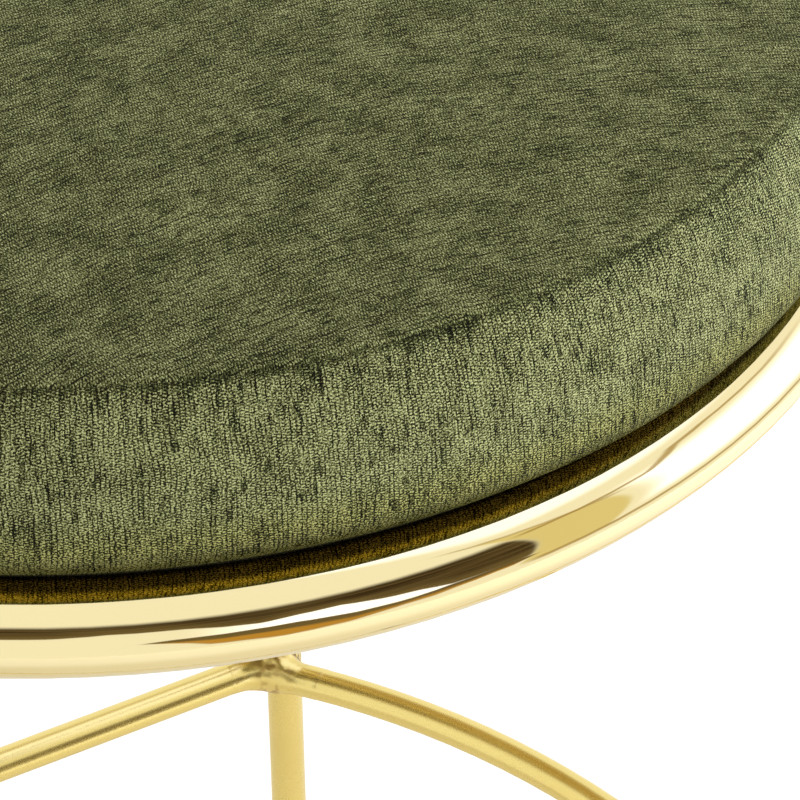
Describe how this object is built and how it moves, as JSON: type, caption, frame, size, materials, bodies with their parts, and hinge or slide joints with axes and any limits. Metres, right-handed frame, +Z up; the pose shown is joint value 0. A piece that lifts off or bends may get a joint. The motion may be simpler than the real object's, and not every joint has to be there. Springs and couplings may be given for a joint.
{
  "type": "upholstered bar stool",
  "caption": "Backless bar stool: round crowned chenille pad on a polished ring, splayed rod legs and a bent footrest hoop welded inside them.",
  "frame": {"origin": "on the floor, under the middle of the seat", "axes": "+Z up; the straight footrest bars run along X, at the front (-Y) and the rear (+Y)"},
  "size_m": [0.4848, 0.4408, 0.76],
  "materials": {
    "ring_metal": "polished pale gold plating on steel tube",
    "satin_gold": "satin gold plating on steel",
    "glide_plastic": "fine matt moulding",
    "zinc_steel": "bright zinc plating",
    "plywood": "bare birch plywood",
    "dust_cloth": "black non-woven cloth",
    "foam": "open-cell foam",
    "fibre": "bonded polyester fibre",
    "chenille": "olive green chenille with a crushed pile"
  },
  "bodies": {
    "root": {"seat_ring": "ring_metal", "leg_front_left": "satin_gold", "leg_front_right": "satin_gold", "leg_rear_left": "satin_gold", "leg_rear_right": "satin_gold", "footrest_hoop": "satin_gold", "leg_ring_welds": "satin_gold", "leg_footrest_welds": "satin_gold", "crossbar_full": "satin_gold", "crossbar_half_left": "satin_gold", "crossbar_half_right": "satin_gold", "crossbar_welds": "satin_gold", "glide_front_left": "glide_plastic", "glide_front_right": "glide_plastic", "glide_rear_left": "glide_plastic", "glide_rear_right": "glide_plastic", "seat_screws": "zinc_steel", "seat_washers": "zinc_steel", "tee_nuts": "zinc_steel", "staples": "zinc_steel", "seat_board": "plywood", "dust_cover": "dust_cloth", "foam_core": "foam", "fibre_wrap": "fibre", "seam_allowance": "chenille", "cover_band": "chenille", "cover_top": "chenille"}
  },
  "joints": []
}
